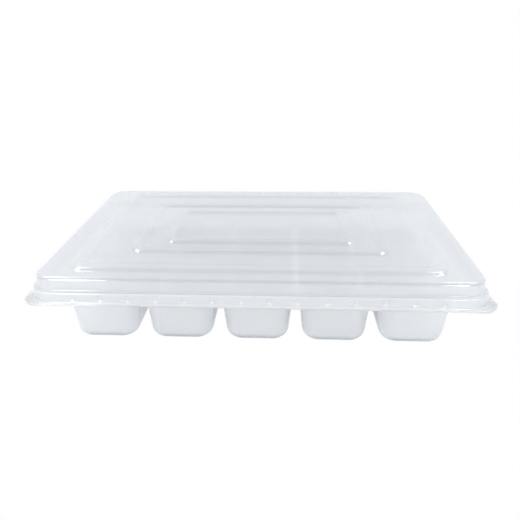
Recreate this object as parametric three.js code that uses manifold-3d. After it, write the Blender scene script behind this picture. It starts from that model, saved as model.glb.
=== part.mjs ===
// Seed tray with a low clear lid: a thermoformed tray of 5 x 3 square cups and the lid that snaps over its rim.
// Millimetres, +Z up, +X along the long side. The cup bottoms stand on z = 0, centred on the origin.
import * as THREE from "three";
import { mergeVertices } from "three/addons/utils/BufferGeometryUtils.js";
import Module from "manifold-3d";

const wasm = await Module();
wasm.setup();

// Driving dimensions.
const SHEET = 0.6; // thickness of both thermoformed sheets
const GAP = 0.3; // clearance between the lid and the tray where one rests on the other
const PAST = 1; // how far a cutting solid runs past the face that it opens

const COLUMNS = 5;
const ROWS = 3;
const PITCH_X = 44;
const PITCH_Y = 46;
const LAND = 2; // width of deck left between two cups
const CUP_TAPER = 2.8; // how much narrower a cup is at its foot than at its mouth, per side
const CUP_CORNER = 12.5;
const CUP_FILLET = 6;

const SHOULDER_X = 120; // half length of the lid at its shoulder
const SHOULDER_Y = 76; // half width of the lid at its shoulder
const SHOULDER_CORNER = 10;
const SHOULDER_ROUND = 2.4;

const PLATE_TOP = 45.4;
const LEDGE_TOP = 38;
const LEDGE_SLOPE = 0.4;
const LEDGE_OUT = 2.6; // how far the ledge stands out past the shoulder
const WALL_OUT = 0.4;
const SKIRT_OUT = 3.2;
const LIP_TOP = 32;

const LIP_X = 124.9;
const LIP_Y = 79.7;
const LIP_CORNER = 12;
const TAB_RADIUS = 8.5;
const TAB_REACH_X = 1.3; // how far a corner tab stands out past the lip, along X
const TAB_REACH_Y = 0.5;

const RIM_OUT = 1.2; // the tray's wall, past the lid's shoulder, inside the lid's skirt
const RIM_TOP = LEDGE_TOP - LEDGE_SLOPE - SHEET - GAP;
const RIM_WIDTH = 6;
const DECK_TOP = 35.2;
const FLANGE_TOP = LIP_TOP - SHEET - GAP;

const RIB_HEIGHT = 1.5;
const RIB_SLOPE = 2.6; // width of each sloping side of a rib
const RIBS = [
  { halfX: 104.5, halfY: 68, width: 10.5, corner: 10 },
  { halfX: 76, halfY: 43.5, width: 8, corner: 8 },
  { halfX: 58, halfY: 29.5, width: 7, corner: 7 },
];

const DIMPLE_PITCH = 15;
const DIMPLE_Z = 34.4;
const DIMPLE_RADIUS = 1.6;
const DIMPLE_DEPTH = 0.6;
const DIMPLE_SIDES = 6;
const DIMPLES_FROM_CORNER = 16;

const CUP_STEPS = 3; // straight stretches in a quarter turn
const LID_STEPS = 4;

// A rounded rectangle as a closed list of points, with the same count of points for every size.
function outline(halfX, halfY, corner, steps) {
  const points = [];
  for (let side = 0; side < 4; side++) {
    const signX = side === 0 || side === 3 ? 1 : -1;
    const signY = side < 2 ? 1 : -1;
    for (let step = 0; step <= steps; step++) {
      const angle = ((side + step / steps) * Math.PI) / 2;
      const x = signX * (halfX - corner) + corner * Math.cos(angle);
      const y = signY * (halfY - corner) + corner * Math.sin(angle);
      points.push(new THREE.Vector2(x, y));
    }
  }
  return points;
}

// A closed mesh through a stack of rounded rectangles, given from the lowest to the highest.
function loft(sections, steps) {
  const positions = [];
  for (const { halfX, halfY, corner, z } of sections)
    for (const p of outline(halfX, halfY, corner, steps)) positions.push(p.x, p.y, z);
  const count = 4 * (steps + 1);
  const faces = [];
  for (let level = 0; level + 1 < sections.length; level++)
    for (let i = 0; i < count; i++) {
      const a = level * count + i;
      const b = level * count + ((i + 1) % count);
      faces.push(a, b, b + count, a, b + count, a + count);
    }
  const top = (sections.length - 1) * count;
  for (let i = 1; i + 1 < count; i++) {
    faces.push(0, i + 1, i);
    faces.push(top, top + i, top + i + 1);
  }
  const geometry = new THREE.BufferGeometry();
  geometry.setAttribute("position", new THREE.Float32BufferAttribute(positions, 3));
  geometry.setIndex(faces);
  return geometry;
}

function solid(geometry) {
  const bare = geometry.clone();
  bare.deleteAttribute("normal");
  bare.deleteAttribute("uv");
  const merged = mergeVertices(bare);
  return new wasm.Manifold(
    new wasm.Mesh({
      numProp: 3,
      vertProperties: new Float32Array(merged.attributes.position.array),
      triVerts: new Uint32Array(merged.index.array),
    }),
  );
}

function geometryOf(shape) {
  const mesh = shape.getMesh();
  const geometry = new THREE.BufferGeometry();
  geometry.setAttribute("position", new THREE.BufferAttribute(mesh.vertProperties, 3));
  geometry.setIndex(new THREE.BufferAttribute(mesh.triVerts, 1));
  geometry.computeVertexNormals();
  return geometry;
}

const joined = (solids) => solids.reduce((all, one) => all.add(one));

// A section that follows the lid's shoulder outline, moved outwards by out.
function around(out, z) {
  return {
    halfX: SHOULDER_X + out,
    halfY: SHOULDER_Y + out,
    corner: SHOULDER_CORNER + out,
    z,
  };
}

// The flat lip that lid and tray share: a rounded rectangle with a round pull tab at each corner.
function lipPlate(top) {
  const rectangle = (z) => ({ halfX: LIP_X, halfY: LIP_Y, corner: LIP_CORNER, z });
  const parts = [solid(loft([rectangle(top - SHEET), rectangle(top)], LID_STEPS))];
  const tab = new THREE.CylinderGeometry(TAB_RADIUS, TAB_RADIUS, SHEET, 4 * (LID_STEPS + 2));
  tab.rotateX(Math.PI / 2);
  for (const signX of [-1, 1])
    for (const signY of [-1, 1]) {
      const x = signX * (LIP_X + TAB_REACH_X - TAB_RADIUS);
      const y = signY * (LIP_Y + TAB_REACH_Y - TAB_RADIUS);
      parts.push(solid(tab.clone().translate(x, y, top - SHEET / 2)));
    }
  return joined(parts);
}

// One cup as a tapered solid with a rounded foot. inset is 0 for its outside, the sheet for its inside.
function cup(x, y, inset, top) {
  const size = (z, narrower) => ({
    halfX: (PITCH_X - LAND) / 2 - inset - narrower,
    halfY: (PITCH_Y - LAND) / 2 - inset - narrower,
    corner: CUP_CORNER - inset - narrower,
    z,
  });
  const sections = [];
  for (let step = 0; step <= CUP_STEPS; step++) {
    const angle = (step / CUP_STEPS) * (Math.PI / 2);
    const round = CUP_FILLET - inset;
    sections.push(size(CUP_FILLET - round * Math.cos(angle), CUP_TAPER + round * (1 - Math.sin(angle))));
  }
  sections.push(size(DECK_TOP, 0));
  if (top > DECK_TOP) sections.push(size(top, 0));
  return solid(loft(sections, CUP_STEPS).translate(x, y, 0));
}

function cups(inset, top) {
  const all = [];
  for (let column = 0; column < COLUMNS; column++)
    for (let row = 0; row < ROWS; row++) {
      const x = (column - (COLUMNS - 1) / 2) * PITCH_X;
      const y = (row - (ROWS - 1) / 2) * PITCH_Y;
      all.push(cup(x, y, inset, top));
    }
  return joined(all);
}

// The cup tray: a sunken deck with the cups in it, a raised rim, a wall down to the flange.
function makeTray() {
  const flangeUnder = FLANGE_TOP - SHEET;
  const inner = RIM_OUT - RIM_WIDTH;
  const block = solid(loft([around(RIM_OUT, flangeUnder), around(RIM_OUT, RIM_TOP)], LID_STEPS));
  const cupsOutside = cups(0, DECK_TOP);
  const underDeck = solid(
    loft([around(inner, DECK_TOP - SHEET), around(inner, RIM_TOP + PAST)], LID_STEPS),
  );
  const hollow = solid(
    loft(
      [around(RIM_OUT - SHEET, flangeUnder - PAST), around(RIM_OUT - SHEET, RIM_TOP - SHEET)],
      LID_STEPS,
    ),
  );
  const recess = solid(
    loft([around(inner - SHEET, DECK_TOP), around(inner - SHEET, RIM_TOP + PAST)], LID_STEPS),
  );
  return lipPlate(FLANGE_TOP)
    .add(block)
    .subtract(hollow.subtract(underDeck))
    .add(cupsOutside)
    .subtract(recess)
    .subtract(cups(SHEET, RIM_TOP + PAST));
}

// The lid's outside, from the lip up, or its inside when moved in by the sheet.
function lidShell(inset, bottom) {
  const out = (value, z) => around(value - inset, z - inset);
  return solid(
    loft(
      [
        around(SKIRT_OUT - inset, bottom),
        out(LEDGE_OUT, LEDGE_TOP - LEDGE_SLOPE),
        out(WALL_OUT, LEDGE_TOP),
        out(0, PLATE_TOP - SHOULDER_ROUND),
        out(-SHOULDER_ROUND * (1 - Math.SQRT1_2), PLATE_TOP - SHOULDER_ROUND * (1 - Math.SQRT1_2)),
        out(-SHOULDER_ROUND, PLATE_TOP),
      ],
      LID_STEPS,
    ),
  );
}

// One raised rib ring: a low frustum with the middle cut out. inset moves all its faces inwards.
function rib({ halfX, halfY, width, corner }, inset) {
  const base = PLATE_TOP - SHEET - PAST;
  const top = PLATE_TOP + RIB_HEIGHT - inset;
  const ring = (inwards, z) => ({
    halfX: halfX - inwards,
    halfY: halfY - inwards,
    corner: Math.max(corner - inwards, 2),
    z,
  });
  const outside = loft(
    [ring(inset, base), ring(inset, PLATE_TOP - inset), ring(RIB_SLOPE + inset, top)],
    LID_STEPS,
  );
  const hole = width - inset;
  const inside = loft(
    [
      ring(hole, base - PAST),
      ring(hole, PLATE_TOP - inset),
      ring(hole - RIB_SLOPE, top),
      ring(hole - RIB_SLOPE, top + PAST),
    ],
    LID_STEPS,
  );
  return solid(outside).subtract(solid(inside));
}

// Places of the snap dimples along one side, evenly spaced and centred.
function dimplePlaces(halfSide) {
  const count = Math.floor((2 * (halfSide - DIMPLES_FROM_CORNER)) / DIMPLE_PITCH) + 1;
  return Array.from({ length: count }, (_, i) => (i - (count - 1) / 2) * DIMPLE_PITCH);
}

// Small frustums pointing inwards from the skirt all round the lid. grow is 0 for the hollow outside.
function dimples(grow) {
  const skirt = THREE.MathUtils.mapLinear(
    DIMPLE_Z,
    LIP_TOP - SHEET,
    LEDGE_TOP - LEDGE_SLOPE,
    SKIRT_OUT,
    LEDGE_OUT,
  );
  const start = grow ? -SHEET / 2 : SHEET / 2;
  const end = -SHEET - DIMPLE_DEPTH + (grow ? 0 : SHEET);
  const length = start - end;
  const shape = new THREE.CylinderGeometry(
    DIMPLE_RADIUS / 2 + grow,
    DIMPLE_RADIUS + grow,
    length,
    DIMPLE_SIDES,
  );
  shape.translate(0, -(start + end) / 2, 0);
  const all = [];
  const place = (turn, along, distance) => {
    const one = shape.clone();
    one.translate(along, -distance, 0);
    one.rotateZ(turn);
    one.translate(0, 0, DIMPLE_Z);
    all.push(solid(one));
  };
  for (const turn of [0, Math.PI])
    for (const along of dimplePlaces(SHOULDER_X)) place(turn, along, SHOULDER_Y + skirt);
  for (const turn of [Math.PI / 2, -Math.PI / 2])
    for (const along of dimplePlaces(SHOULDER_Y)) place(turn, along, SHOULDER_X + skirt);
  return joined(all);
}

// The lid: a plate with three rib rings, a shoulder, a wall, a ledge and a skirt that ends in the lip.
function makeLid() {
  const lipUnder = LIP_TOP - SHEET;
  const outside = joined([lidShell(0, lipUnder), lipPlate(LIP_TOP), ...RIBS.map((r) => rib(r, 0))]);
  const inside = joined([lidShell(SHEET, lipUnder - PAST), ...RIBS.map((r) => rib(r, SHEET))]);
  return outside.subtract(inside).add(dimples(SHEET / 2)).subtract(dimples(0));
}

const clear = (colour) =>
  new THREE.MeshStandardMaterial({
    color: colour,
    roughness: 0.12,
    metalness: 0,
    transparent: true,
    opacity: 0.4,
    side: THREE.DoubleSide,
  });

const group = new THREE.Group();
const tray = new THREE.Mesh(geometryOf(makeTray()), clear(0xe2e8ee));
tray.name = "cell_tray";
const lid = new THREE.Mesh(geometryOf(makeLid()), clear(0xe6ecf2));
lid.name = "dome_lid";
group.add(tray, lid);

export default group;
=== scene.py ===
"""The visual model of a seed tray with a low clear lid: two thermoformed clear sheets, as closed thin shells.

Both shells are stacks of rounded-rectangle rings. A ring is (half length, half width, corner radius, height),
in millimetres, and a profile is a list of rings. The finished vertices are in metres, in the frame of the
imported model.
"""

import math

import bmesh
import bpy
import numpy as np
from mathutils import Matrix, Vector, noise


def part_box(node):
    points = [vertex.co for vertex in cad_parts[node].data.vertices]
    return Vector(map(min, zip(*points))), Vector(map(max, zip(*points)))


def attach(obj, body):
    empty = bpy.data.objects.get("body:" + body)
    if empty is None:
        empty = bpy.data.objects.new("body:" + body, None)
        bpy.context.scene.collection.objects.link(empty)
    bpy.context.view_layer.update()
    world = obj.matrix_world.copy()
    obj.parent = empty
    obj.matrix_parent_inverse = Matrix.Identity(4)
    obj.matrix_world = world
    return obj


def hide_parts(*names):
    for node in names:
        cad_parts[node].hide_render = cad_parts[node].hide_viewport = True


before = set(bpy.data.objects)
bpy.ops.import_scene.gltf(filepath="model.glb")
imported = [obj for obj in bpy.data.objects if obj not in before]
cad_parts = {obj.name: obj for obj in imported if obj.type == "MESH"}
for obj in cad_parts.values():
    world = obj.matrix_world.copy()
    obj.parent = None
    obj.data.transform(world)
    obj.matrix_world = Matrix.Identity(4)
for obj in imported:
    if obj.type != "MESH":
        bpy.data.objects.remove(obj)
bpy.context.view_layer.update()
TRAY_LOW, TRAY_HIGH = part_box("cell_tray")
LID_LOW, LID_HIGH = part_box("dome_lid")

MM = 0.001

# Driving sizes of both sheets, in millimetres.
SHEET = 0.6
GAP = 0.3  # between the tray's flange and the lid's lip
COLUMNS, ROWS = 5, 3
PITCH_X, PITCH_Y = 44.0, 46.0
LAND = 2.0  # flat deck between two cups
CUP_TAPER = 2.8
CUP_CORNER = 12.5
CUP_FILLET = 6.0
SHOULDER_X, SHOULDER_Y, SHOULDER_CORNER = 120.0, 76.0, 10.0
SHOULDER_ROUND = 2.4
LEDGE_ROUND = 0.6
PLATE_TOP = 45.4
LEDGE_TOP, LEDGE_SLOPE = 38.0, 0.4
WALL_OUT, LEDGE_OUT, SKIRT_OUT = 0.4, 2.6, 3.2  # how far outside the shoulder each of them ends
LIP_TOP = LID_LOW.z / MM + SHEET
TAB_X, TAB_Y = LID_HIGH.x / MM, LID_HIGH.y / MM
TAB_RADIUS = 8.5
TAB_REACH_X, TAB_REACH_Y = 1.3, 0.5  # how far a pull tab stands out past the sides of the lip
TAB_BLEND = 14.0  # length over which it swells out
RIM_OUT, RIM_WIDTH = 1.2, 6.0
RIM_TOP = TRAY_HIGH.z / MM
RIM_SLOPE = 0.6
RIM_ROUND = 0.7
DECK_TOP = 35.2
FLANGE_TOP = LIP_TOP - SHEET - GAP
RIB_HEIGHT = LID_HIGH.z / MM - PLATE_TOP
RIB_SLOPE = 2.6
RIB_ROUND = 1.3
# Half length, half width, width of the rib and corner radius of each rib ring, from the inside out.
RIBS = ((58.0, 29.5, 7.0, 7.0), (76.0, 43.5, 8.0, 8.0), (104.5, 68.0, 10.5, 10.0))
RIB_INNER_CORNER = 3.0
DIMPLE_PITCH = 15.0
DIMPLE_Z = 34.4
DIMPLE_RADIUS = 1.7
DIMPLE_DEPTH = 0.6
DIMPLES_FROM_CORNER = 16.0
WAVE = 0.10  # unevenness of the drawn sheet
DIMPLE_PAINTED_HIGHLIGHT = 3.0  # painted highlight on a bend of the skirt, such as a snap dimple, against the painted shade on a bend above it
PIP_PITCH = 1.45  # pips are the grip dots on the pull tabs
PIP_RADIUS = 0.55
PIP_HEIGHT = 0.28

# How finely the meshes are divided.
CUP_SIDE = 12  # segments along one side of a cup, half a corner at each end included
CORNER_HALF = 4  # segments in half a corner of the tray
LID_CORNER_HALF = 8
RING_STEP = 0.8  # greatest distance between two rings of the lid's wall and skirt
WELD = 0.002  # vertices closer than this are one


def make_camera():
    """The camera stands in front of the tray, a little to the right, and looks down on it."""
    place = (0.01499, -0.30904, 0.16773)
    down, turn, roll = 0.458, 0.061, -0.014
    data = bpy.data.cameras.new("camera")
    data.sensor_width = 36
    data.lens = 35.31
    data.shift_x, data.shift_y = 0.0077, 0.0161
    data.clip_start, data.clip_end = 0.01, 50
    camera = bpy.data.objects.new("camera", data)
    camera.matrix_world = (
        Matrix.Translation(place)
        @ Matrix.Rotation(turn, 4, "Z")
        @ Matrix.Rotation(math.pi / 2 - down, 4, "X")
        @ Matrix.Rotation(roll, 4, "Z")
    )
    bpy.context.scene.collection.objects.link(camera)
    bpy.context.scene.camera = camera


# ---------------------------------------------------------------- rings and shells


def around(out, z):
    """A ring that follows the lid's shoulder, moved outwards by out."""
    return np.array([SHOULDER_X + out, SHOULDER_Y + out, SHOULDER_CORNER + out, z])


def soften(profile, radius, steps=4):
    """Rounds each inner point of a profile, since a drawn sheet bends over a small radius."""
    points = [profile[0]]
    for before, here, after in zip(profile, profile[1:], profile[2:]):
        reach_in = min(radius / max(section_length(before, here), 1e-6), 0.45)
        reach_out = min(radius / max(section_length(here, after), 1e-6), 0.45)
        start = here + (before - here) * reach_in
        end = here + (after - here) * reach_out
        for step in range(steps + 1):
            t = step / steps
            points.append((1 - t) ** 2 * start + 2 * t * (1 - t) * here + t**2 * end)
    points.append(profile[-1])
    return points


def section_length(a, b):
    """The distance between two rings in a section across a long side."""
    return math.hypot(a[1] - b[1], a[3] - b[3])


def offset(profile, depth):
    """The profile moved by depth to its underside. The profile runs from the middle outwards."""
    moved = []
    last = len(profile) - 1
    for i, ring in enumerate(profile):
        before, after = profile[max(i - 1, 0)], profile[min(i + 1, last)]
        along, rise = after[1] - before[1], after[3] - before[3]
        length = math.hypot(along, rise) or 1.0
        inwards, down = -rise / length * depth, along / length * depth
        corner = max(ring[2] - inwards, 0.4)
        moved.append(np.array([ring[0] - inwards, ring[1] - inwards, corner, ring[3] - down]))
    return moved


def ring_points(ring, spots_x, spots_y, corner_half):
    """The points of one ring, anticlockwise from the middle of the front right corner.

    spots_x and spots_y place the points along the straight stretches, from -1 to 1."""
    half_x, half_y, corner, z = ring
    corner = min(corner, half_x, half_y)
    straight_x, straight_y = half_x - corner, half_y - corner
    points = []
    for side in range(4):
        turn = side * math.pi / 2
        spots = spots_y if side % 2 == 0 else spots_x
        straight = straight_y if side % 2 == 0 else straight_x
        reach = straight_x if side % 2 == 0 else straight_y
        local = []
        for i in range(corner_half):
            angle = (i / corner_half - 1) * math.pi / 4
            local.append((reach + corner * math.cos(angle), -straight + corner * math.sin(angle)))
        local += [(reach + corner, straight * spot) for spot in spots]
        for i in range(1, corner_half):
            angle = i / corner_half * math.pi / 4
            local.append((reach + corner * math.cos(angle), straight + corner * math.sin(angle)))
        for x, y in local:
            points.append(
                Vector(
                    (
                        x * math.cos(turn) - y * math.sin(turn),
                        x * math.sin(turn) + y * math.cos(turn),
                        z,
                    )
                )
            )
    return points


def rectangle_points(half_x, half_y, z, count_x, count_y):
    """Evenly spaced points on a sharp rectangle, in the same order as ring_points."""
    corners = [(half_x, -half_y), (half_x, half_y), (-half_x, half_y), (-half_x, -half_y)]
    points = []
    for side in range(4):
        start, end = Vector(corners[side]), Vector(corners[(side + 1) % 4])
        count = count_y if side % 2 == 0 else count_x
        points += [(*start.lerp(end, i / count), z) for i in range(count)]
    return [Vector(p) for p in points]


def even_spots(count):
    return [2 * i / count - 1 for i in range(count + 1)]


def add_ring(mesh, points):
    return [mesh.verts.new(p * MM) for p in points]


def bridge(mesh, inner, outer):
    count = len(inner)
    for i in range(count):
        j = (i + 1) % count
        mesh.faces.new((inner[i], outer[i], outer[j], inner[j]))


def bridge_all(mesh, rings):
    for inner, outer in zip(rings, rings[1:]):
        bridge(mesh, inner, outer)


def finish_piece(name, mesh, body, node, material):
    bmesh.ops.remove_doubles(mesh, verts=mesh.verts, dist=WELD * MM)
    bmesh.ops.recalc_face_normals(mesh, faces=mesh.faces)
    data = bpy.data.meshes.new(name)
    mesh.to_mesh(data)
    mesh.free()
    data.polygons.foreach_set("use_smooth", [True] * len(data.polygons))
    piece = bpy.data.objects.new(name, data)
    bpy.context.scene.collection.objects.link(piece)
    data.materials.append(material)
    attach(piece, body)
    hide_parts(node)
    return piece


def smoothstep(value, low, high):
    t = min(max((value - low) / (high - low), 0), 1)
    return t * t * (3 - 2 * t)


def lip_points(z, inset, spots_x, spots_y, corner_half):
    """The outer edge of a lip: nearly straight sides that swell into a round pull tab at each corner."""
    ring = (TAB_X - inset, TAB_Y - inset, TAB_RADIUS - inset, z)
    tab_start_x = TAB_X - TAB_RADIUS - TAB_BLEND
    tab_start_y = TAB_Y - TAB_RADIUS - TAB_BLEND
    points = []
    for p in ring_points(ring, spots_x, spots_y, corner_half):
        on_side = 1 - smoothstep(abs(p.y), tab_start_y, tab_start_y + TAB_BLEND)
        on_front = 1 - smoothstep(abs(p.x), tab_start_x, tab_start_x + TAB_BLEND)
        if abs(p.x) > TAB_X - TAB_RADIUS:
            p.x -= math.copysign(TAB_REACH_X * on_side, p.x)
        if abs(p.y) > TAB_Y - TAB_RADIUS:
            p.y -= math.copysign(TAB_REACH_Y * on_front, p.y)
        points.append(p)
    return points


# ---------------------------------------------------------------- the lid


def dimple_places(half_side):
    count = int(2 * (half_side - DIMPLES_FROM_CORNER) // DIMPLE_PITCH) + 1
    return [(i - (count - 1) / 2) * DIMPLE_PITCH for i in range(count)]


def dimple_spots(half_side, straight):
    """Places along a side, close together where a dimple is, as shares of the straight stretch."""
    near = (-1.0, -0.66, -0.33, 0.0, 0.33, 0.66, 1.0)
    between = (0.35, 0.65)
    places = dimple_places(half_side)
    spots = {-1.0, 1.0}
    for place in places:
        spots.update((place + DIMPLE_RADIUS * step) / straight for step in near)
        spots.update((place + DIMPLE_PITCH * step) / straight for step in between)
    last = places[-1] / straight
    spots.update((-1 + (1 - last) / 2, 1 - (1 - last) / 2))
    return sorted(s for s in spots if -1 <= s <= 1)


def dimple_depth(along, z, places):
    """How far the skirt is pushed in at a point by the nearest snap dimple."""
    nearest = min(abs(along - place) for place in places)
    distance = math.hypot(nearest, z - DIMPLE_Z) / DIMPLE_RADIUS
    return DIMPLE_DEPTH * (1 - smoothstep(distance, 0.25, 1.0))


def lid_profile():
    """The lid's upper side in three runs: the panel's middle, the rib rings, and the shoulder and skirt."""
    ribs = []
    for half_x, half_y, width, corner in RIBS:
        for inwards, radius, rise in (
            (width, RIB_INNER_CORNER, 0),
            (width - RIB_SLOPE, RIB_INNER_CORNER + RIB_SLOPE, RIB_HEIGHT),
            (RIB_SLOPE, corner - RIB_SLOPE, RIB_HEIGHT),
            (0, corner, 0),
        ):
            ribs.append(np.array([half_x - inwards, half_y - inwards, radius, PLATE_TOP + rise]))
    first = ribs[0]
    middle = [first * (share, share, share, 1) for share in (0.25, 0.5, 0.75)]
    edge = [
        around(-2 * SHOULDER_ROUND, PLATE_TOP),
        around(0, PLATE_TOP),
        around(WALL_OUT, LEDGE_TOP),
        around(LEDGE_OUT, LEDGE_TOP - LEDGE_SLOPE),
        around(SKIRT_OUT, LIP_TOP),
    ]
    return middle, ribs, edge


def subdivide(profile, longest):
    """More rings where two neighbours are further apart than longest."""
    points = [profile[0]]
    for a, b in zip(profile, profile[1:]):
        count = max(1, math.ceil(section_length(a, b) / longest))
        points += [a + (b - a) * i / count for i in range(1, count + 1)]
    return points


def drawn_wave(p):
    """The slight unevenness of a flat stretch of sheet, fading out at the shoulder."""
    inside = min(1 - abs(p.x) / SHOULDER_X, 1 - abs(p.y) / SHOULDER_Y)
    broad = noise.noise(Vector((p.x / 38, p.y / 30, 1.7)))
    fine = noise.noise(Vector((p.x / 14, p.y / 14, 5.1)))
    return WAVE * (broad + 0.5 * fine) * smoothstep(inside, 0, 0.08)


def shape_lid(points):
    """Pushes the skirt in at the dimples, and lets the plate wave a little."""
    places_x, places_y = dimple_places(SHOULDER_X), dimple_places(SHOULDER_Y)
    straight_x = SHOULDER_X - SHOULDER_CORNER
    straight_y = SHOULDER_Y - SHOULDER_CORNER
    for p in points:
        if p.z > LEDGE_TOP + 2:
            p.z += drawn_wave(p)
        elif p.z < LEDGE_TOP - LEDGE_SLOPE - 1:
            if abs(p.x) <= straight_x:
                p.y -= math.copysign(dimple_depth(p.x, p.z, places_x), p.y)
            elif abs(p.y) <= straight_y:
                p.x -= math.copysign(dimple_depth(p.y, p.z, places_y), p.x)
    return points


def pip(mesh, x, y, z):
    """One raised grip dot on a pull tab: a small closed dome."""
    made = bmesh.ops.create_icosphere(mesh, subdivisions=2, radius=PIP_RADIUS * MM)
    for v in made["verts"]:
        v.co.z *= PIP_HEIGHT / PIP_RADIUS
        v.co += Vector((x, y, z)) * MM


def grip_dots(mesh, z):
    """Dots on the pull tabs, in rows turned by 45 degrees, between the skirt's corner and the tab's edge."""
    clear = 2 * PIP_RADIUS
    tab = Vector((TAB_X - TAB_RADIUS, TAB_Y - TAB_RADIUS))
    skirt = Vector((SHOULDER_X - SHOULDER_CORNER, SHOULDER_Y - SHOULDER_CORNER))
    skirt_radius = SHOULDER_CORNER + SKIRT_OUT + clear
    across = math.ceil(TAB_RADIUS / PIP_PITCH) + 1
    steps = range(-across, across + 1)
    for i in steps:
        for j in steps:
            spot = tab + Vector((i + j, i - j)) * PIP_PITCH * math.sqrt(0.5)
            if (spot - skirt).length < skirt_radius or (spot - tab).length > TAB_RADIUS - clear:
                continue
            for sign_x in (-1, 1):
                for sign_y in (-1, 1):
                    pip(mesh, sign_x * spot.x, sign_y * spot.y, z)


def make_lid(material):
    mesh = bmesh.new()
    spots_x = dimple_spots(SHOULDER_X, SHOULDER_X - SHOULDER_CORNER)
    spots_y = dimple_spots(SHOULDER_Y, SHOULDER_Y - SHOULDER_CORNER)
    middle, ribs, edge = lid_profile()
    upper = middle + soften([*ribs, edge[0]], RIB_ROUND)[:-1]
    shoulder = soften(edge[:3], SHOULDER_ROUND, 8)[:-1]
    skirt = soften([shoulder[-1], *edge[2:]], LEDGE_ROUND)[1:]
    upper += subdivide(shoulder + skirt, RING_STEP)
    under = offset(upper, SHEET)
    under[-1][3] = LIP_TOP - SHEET
    skins = []
    for profile in (upper, under):
        rings = [shape_lid(ring_points(r, spots_x, spots_y, LID_CORNER_HALF)) for r in profile]
        skins.append([add_ring(mesh, points) for points in rings])
    top_edge = add_ring(mesh, lip_points(LIP_TOP, 0, spots_x, spots_y, LID_CORNER_HALF))
    low_edge = add_ring(mesh, lip_points(LIP_TOP - SHEET, 0, spots_x, spots_y, LID_CORNER_HALF))
    bridge_all(mesh, [*skins[0], top_edge, low_edge, *reversed(skins[1])])
    mesh.faces.new(skins[0][0])
    mesh.faces.new(list(reversed(skins[1][0])))
    grip_dots(mesh, LIP_TOP)
    return finish_piece("clear_lid", mesh, "lid", "dome_lid", material)


# ---------------------------------------------------------------- the tray


def cup_profile():
    """The inside of one cup, from the middle of its foot up to the deck."""
    half_x = (PITCH_X - LAND) / 2 - SHEET
    half_y = (PITCH_Y - LAND) / 2 - SHEET
    corner = CUP_CORNER - SHEET
    mouth = 0.9
    low = np.array([half_x - CUP_TAPER, half_y - CUP_TAPER, corner - CUP_TAPER, SHEET])
    rings = []
    fillet = CUP_FILLET - SHEET
    for share in (0.2, 0.5, 0.8):
        rings.append((low - np.array([fillet, fillet, fillet, 0])) * (share, share, share, 1))
    for step in range(9):
        angle = step / 8 * math.pi / 2
        inwards = fillet * (1 - math.sin(angle))
        rise = fillet * (1 - math.cos(angle))
        rings.append(low + np.array([-inwards, -inwards, -inwards, rise]))
    top = np.array([half_x, half_y, corner, DECK_TOP - mouth])
    rings += [rings[-1] + (top - rings[-1]) * i / 6 for i in range(1, 7)]
    for step in range(1, 5):
        angle = step / 4 * math.pi / 2
        outwards = mouth * (1 - math.cos(angle))
        rise = mouth * math.sin(angle)
        rings.append(top + np.array([outwards, outwards, outwards, rise]))
    return rings


def make_cup(mesh, x, y, profile, z):
    """One skin of a cup and the piece of deck round it."""
    spots = even_spots(CUP_SIDE - 2 * CORNER_HALF)
    place = Vector((x, y, 0))
    rings = [[p + place for p in ring_points(r, spots, spots, CORNER_HALF)] for r in profile]
    rings.append([p + place for p in rectangle_points(PITCH_X / 2, PITCH_Y / 2, z, CUP_SIDE, CUP_SIDE)])
    rings = [add_ring(mesh, points) for points in rings]
    bridge_all(mesh, rings)
    mesh.faces.new(rings[0])


def rim_profile():
    """The tray's upper side from the edge of the deck, over the rim, down to the flange."""
    inner = RIM_OUT - RIM_WIDTH - SHEET
    level = 2  # length of level sheet kept beside the rim's first and last bend
    return [
        around(inner - level, DECK_TOP),
        around(inner, DECK_TOP),
        around(inner + RIM_SLOPE, RIM_TOP),
        around(RIM_OUT, RIM_TOP),
        around(RIM_OUT, FLANGE_TOP),
        around(RIM_OUT + level, FLANGE_TOP),
    ]


def make_tray(material):
    mesh = bmesh.new()
    inside = cup_profile()
    outside = offset(inside, SHEET)
    outside[0][3] = 0
    for column in range(COLUMNS):
        for row in range(ROWS):
            x = (column - (COLUMNS - 1) / 2) * PITCH_X
            y = (row - (ROWS - 1) / 2) * PITCH_Y
            make_cup(mesh, x, y, inside, DECK_TOP)
            make_cup(mesh, x, y, outside, DECK_TOP - SHEET)
    count_x, count_y = COLUMNS * CUP_SIDE, ROWS * CUP_SIDE
    spots_x = even_spots(count_x - 2 * CORNER_HALF)
    spots_y = even_spots(count_y - 2 * CORNER_HALF)
    upper = soften(rim_profile(), RIM_ROUND)
    under = offset(upper, SHEET)
    skins = []
    for profile, z in ((upper, DECK_TOP), (under, DECK_TOP - SHEET)):
        grid = rectangle_points(COLUMNS * PITCH_X / 2, ROWS * PITCH_Y / 2, z, count_x, count_y)
        skin = [add_ring(mesh, grid)]
        skin += [add_ring(mesh, ring_points(r, spots_x, spots_y, CORNER_HALF)) for r in profile]
        skins.append(skin)
    top_edge = add_ring(mesh, lip_points(FLANGE_TOP, GAP, spots_x, spots_y, CORNER_HALF))
    low_edge = add_ring(mesh, lip_points(FLANGE_TOP - SHEET, GAP, spots_x, spots_y, CORNER_HALF))
    bridge_all(mesh, [*skins[0], top_edge, low_edge, *reversed(skins[1])])
    return finish_piece("cup_tray", mesh, "tray", "cell_tray", material)


# ---------------------------------------------------------------- materials


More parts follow.
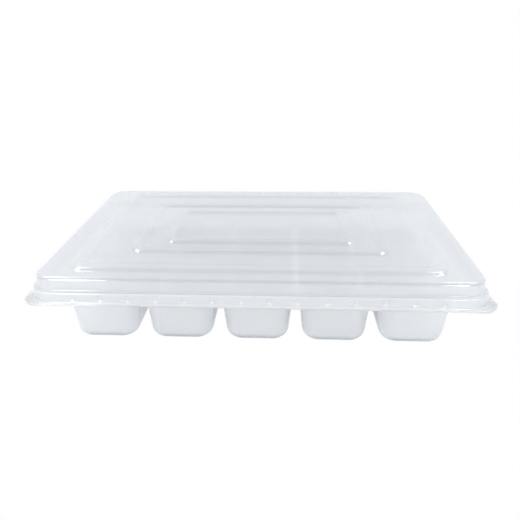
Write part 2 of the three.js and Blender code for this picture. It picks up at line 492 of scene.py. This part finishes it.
class Nodes:
    """A short way to build a node tree."""

    def __init__(self, name):
        self.material = bpy.data.materials.new(name)
        self.material.use_nodes = True
        self.tree = self.material.node_tree
        self.tree.nodes.clear()

    def add(self, kind, **settings):
        node = self.tree.nodes.new(kind)
        for key, value in settings.items():
            setattr(node, key, value)
        return node

    def link(self, source, target):
        self.tree.links.new(source, target)

    def noise(self, coordinates, scale, detail):
        node = self.add("ShaderNodeTexNoise")
        self.link(coordinates, node.inputs["Vector"])
        node.inputs["Scale"].default_value = scale
        node.inputs["Detail"].default_value = detail
        return node.outputs["Fac"]

    def spread(self, value, low, high, to_low, to_high):
        node = self.add("ShaderNodeMapRange")
        self.link(value, node.inputs["Value"])
        numbers = (("From Min", low), ("From Max", high), ("To Min", to_low), ("To Max", to_high))
        for key, number in numbers:
            node.inputs[key].default_value = number
        return node.outputs["Result"]

    def maths(self, operation, a, b):
        node = self.add("ShaderNodeMath", operation=operation)
        for socket, value in zip(node.inputs, (a, b)):
            if isinstance(value, (int, float)):
                socket.default_value = value
            else:
                self.link(value, socket)
        return node.outputs["Value"]

    def mix_colours(self, factor, first, second):
        node = self.add("ShaderNodeMix", data_type="RGBA")
        self.link(factor, node.inputs["Factor"])
        for socket, colour in ((node.inputs["A"], first), (node.inputs["B"], second)):
            if isinstance(colour, tuple):
                socket.default_value = colour
            else:
                self.link(colour, socket)
        return node.outputs["Result"]

    def mix_shaders(self, factor, first, second):
        node = self.add("ShaderNodeMixShader")
        self.link(factor, node.inputs[0])
        self.link(first, node.inputs[1])
        self.link(second, node.inputs[2])
        return node.outputs[0]


def painted_bend_shade(n, normal, any_bend, low_bend):
    """How much painted shade the bends that run along the long sides get, standing in for the dark lines that
    the light and refraction give them.

    It peaks halfway between level and upright. Bends that face down get low_bend more painted shade, for the
    shade that falls under them."""
    parts = n.add("ShaderNodeSeparateXYZ")
    n.link(normal, parts.inputs[0])
    upwards = parts.outputs["Z"]
    level = n.maths("MULTIPLY", upwards, upwards)
    down = n.maths("MULTIPLY", upwards, n.maths("MINIMUM", upwards, 0.0))
    front = n.maths("MULTIPLY", parts.outputs["Y"], parts.outputs["Y"])
    amount = n.maths("ADD", n.maths("MULTIPLY", level, 4 * any_bend), n.maths("MULTIPLY", down, 4 * low_bend))
    return n.maths("MULTIPLY", front, amount)


def milky_shader(n, colour):
    """Light scattered by the sheet, half to the side it came from and half through to the other."""
    lit = n.add("ShaderNodeBsdfDiffuse")
    lit_through = n.add("ShaderNodeBsdfTranslucent")
    for shader in (lit, lit_through):
        n.link(colour, shader.inputs["Color"])
    both = n.add("ShaderNodeMixShader")
    both.inputs[0].default_value = 0.5
    n.link(lit.outputs[0], both.inputs[1])
    n.link(lit_through.outputs[0], both.inputs[2])
    return both.outputs[0]


def sheet_bump(n, broad, fine):
    """Very shallow unevenness, as on sheet drawn over a mould."""
    height = n.maths("ADD", broad, n.maths("MULTIPLY", fine, 0.05))
    bump = n.add("ShaderNodeBump")
    bump.inputs["Strength"].default_value = 0.1
    bump.inputs["Distance"].default_value = 0.0006
    n.link(height, bump.inputs["Height"])
    return bump.outputs["Normal"]


def sheet_body(n, place, broad, tint, haze, haze_colour, dense_colour, bends, whiten_below):
    """What passes straight through the sheet and what it scatters.

    Flat sheet scatters the share haze. Bends get painted shade, and below a given height they get a painted
    highlight instead. Both also raise the share that the sheet scatters."""
    parts = n.add("ShaderNodeSeparateXYZ")
    n.link(place.outputs["Object"], parts.inputs[0])
    above = n.spread(parts.outputs["Z"], whiten_below, whiten_below + MM, 0, 1)
    bent = painted_bend_shade(n, place.outputs["Normal"], *bends)
    # Painted shade on bends above the skirt. Below it, the same bends, such as the snap dimples, get a
    # painted highlight.
    dark = n.maths("MULTIPLY", bent, above)
    white = n.maths("MULTIPLY", n.maths("SUBTRACT", bent, dark), DIMPLE_PAINTED_HIGHLIGHT)
    highlighted_colour = n.mix_colours(n.maths("MINIMUM", white, 1.0), (*haze_colour, 1), (1, 1, 1, 1))
    coloured = n.mix_colours(dark, highlighted_colour, (*dense_colour, 1))

    through = n.add("ShaderNodeBsdfTransparent")
    through.inputs["Color"].default_value = (*tint, 1)
    # Painted shade and painted highlight also raise the scattered share, so they show more.
    painted_extra_haze = n.maths("MULTIPLY", n.maths("ADD", dark, white), 0.3)
    milk = n.maths("ADD", n.spread(broad, 0.3, 0.7, haze * 0.98, haze * 1.02), painted_extra_haze)
    return n.mix_shaders(milk, through.outputs[0], milky_shader(n, coloured))


def sheet_gloss(n, fine, normal, roughness):
    """The shine of the surface, a little rougher and smoother from place to place."""
    gloss = n.add("ShaderNodeBsdfGlossy")
    gloss.inputs["Color"].default_value = (1, 1, 1, 1)
    n.link(n.spread(fine, 0.3, 0.7, roughness * 0.7, roughness * 1.5), gloss.inputs["Roughness"])
    n.link(normal, gloss.inputs["Normal"])
    return gloss.outputs[0]


def clear_sheet(name, roughness, **body):
    """Thin translucent plastic: it passes some light, scatters the rest and shines at a slant."""
    n = Nodes(name)
    place = n.add("ShaderNodeTexCoord")
    broad = n.noise(place.outputs["Object"], 45, 3)
    fine = n.noise(place.outputs["Object"], 900, 2)
    normal = sheet_bump(n, broad, fine)

    facing = n.add("ShaderNodeLayerWeight")
    n.link(normal, facing.inputs["Normal"])
    slant = n.maths("POWER", facing.outputs["Facing"], 5.0)
    mirror = n.maths("ADD", n.maths("MULTIPLY", slant, 0.5), 0.09)

    milky = sheet_body(n, place, broad, **body)
    surface = n.mix_shaders(mirror, milky, sheet_gloss(n, fine, normal, roughness))
    n.link(surface, n.add("ShaderNodeOutputMaterial").inputs["Surface"])
    return n.material


def lid_material():
    return clear_sheet(
        "clear_lid_sheet",
        roughness=0.06,
        tint=(0.97, 0.975, 0.98),
        haze=0.42,
        haze_colour=(0.845, 0.86, 0.885),
        # The colour of the painted shade on bends, how much of it, and the height below which bends get a
        # painted highlight instead.
        dense_colour=(0.36, 0.40, 0.46),
        bends=(0.36, 0.0),
        whiten_below=(LEDGE_TOP - 0.7) * MM,
    )


def tray_material():
    return clear_sheet(
        "milky_tray_sheet",
        roughness=0.1,
        tint=(0.975, 0.98, 0.985),
        haze=0.32,
        haze_colour=(0.965, 0.975, 0.99),
        # The colour of the painted shade on bends, with extra painted shade on the down-facing bends at the
        # cups' feet. The painted highlight height lies below the tray, so it gets none.
        dense_colour=(0.45, 0.49, 0.55),
        bends=(0.4, 0.5),
        whiten_below=-10 * MM,
    )


def floor_material():
    """Plain white, and seen as evenly lit, so that the tray stands on an unbroken pale ground."""
    n = Nodes("pale_floor")
    surface = n.add("ShaderNodeBsdfDiffuse")
    surface.inputs["Color"].default_value = (0.9, 0.9, 0.9, 1)
    seen = n.add("ShaderNodeEmission")
    path = n.add("ShaderNodeLightPath")
    mixed = n.mix_shaders(path.outputs["Is Camera Ray"], surface.outputs[0], seen.outputs[0])
    n.link(mixed, n.add("ShaderNodeOutputMaterial").inputs["Surface"])
    return n.material


# ---------------------------------------------------------------- stage and light


def make_floor():
    """A wide plain sheet, just under the cups."""
    reach, drop = 30, 0.0002
    mesh = bmesh.new()
    corners = ((-reach, -reach), (reach, -reach), (reach, reach), (-reach, reach))
    mesh.faces.new([mesh.verts.new((x, y, -drop)) for x, y in corners])
    data = bpy.data.meshes.new("floor")
    mesh.to_mesh(data)
    mesh.free()
    floor = bpy.data.objects.new("floor", data)
    data.materials.append(floor_material())
    bpy.context.scene.collection.objects.link(floor)


def make_world():
    """An even white studio."""
    world = bpy.data.worlds.new("studio")
    bpy.context.scene.world = world
    world.use_nodes = True
    studio = world.node_tree.nodes["Background"]
    studio.inputs["Color"].default_value = (1, 1, 1, 1)
    studio.inputs["Strength"].default_value = 1


def softbox(name, place, aim, size_x, size_y, power):
    data = bpy.data.lights.new(name, "AREA")
    data.shape = "RECTANGLE"
    data.size, data.size_y = size_x, size_y
    data.energy = power
    lamp = bpy.data.objects.new(name, data)
    lamp.location = place
    lamp.rotation_euler = (Vector(aim) - Vector(place)).to_track_quat("-Z", "Y").to_euler()
    bpy.context.scene.collection.objects.link(lamp)


def make_light():
    """Softboxes that sparkle at the ribs' corners, and low front strips that light the shoulder."""
    make_world()
    softbox("left_softbox", (-0.66, 0.40, 0.98), (0, 0, 0.04), 0.26, 0.26, 2.2)
    softbox("right_softbox", (0.56, 0.40, 0.98), (0, 0, 0.04), 0.26, 0.26, 2.0)
    softbox("left_strip", (-0.60, -1.14, 0.475), (-0.1, -0.075, 0.04), 0.17, 0.34, 3.2)
    softbox("right_strip", (0.52, -1.16, 0.49), (0.1, -0.075, 0.04), 0.06, 0.34, 1.3)


def set_view():
    scene = bpy.context.scene
    scene.view_settings.view_transform = "Standard"
    scene.cycles.transparent_max_bounces = 64


make_camera()
make_floor()
make_light()
set_view()
make_lid(lid_material())
make_tray(tray_material())
